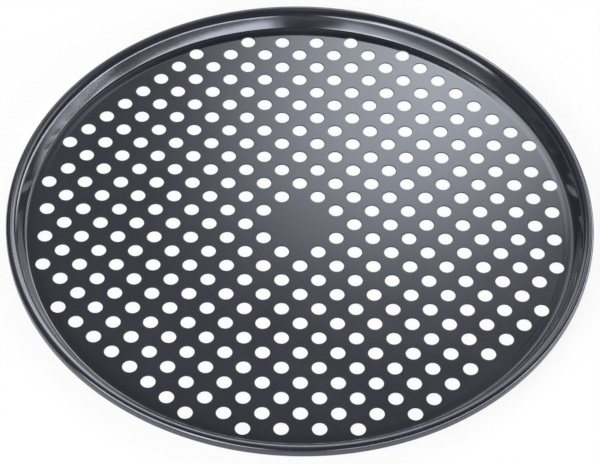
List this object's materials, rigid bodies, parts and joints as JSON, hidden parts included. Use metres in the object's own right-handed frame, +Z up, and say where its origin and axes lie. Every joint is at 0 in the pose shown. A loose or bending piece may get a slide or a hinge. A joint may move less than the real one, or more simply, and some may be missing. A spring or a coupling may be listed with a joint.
{
  "type": "pizza pan",
  "caption": "Round perforated pizza pan with a flat floor of staggered holes, a low flared wall and a rolled rim around a steel wire.",
  "frame": {"origin": "centre of the flat underside, on the surface that the pan rests on", "axes": "+Z up along the pan's axis, +X along the rows of holes"},
  "size_m": [0.3226, 0.3226, 0.0104],
  "materials": {
    "coating": "dark grey semi-gloss non-stick coating",
    "wire": "drawn steel"
  },
  "bodies": {
    "root": {"pan_shell": "coating", "rim_wire": "wire"}
  },
  "joints": []
}
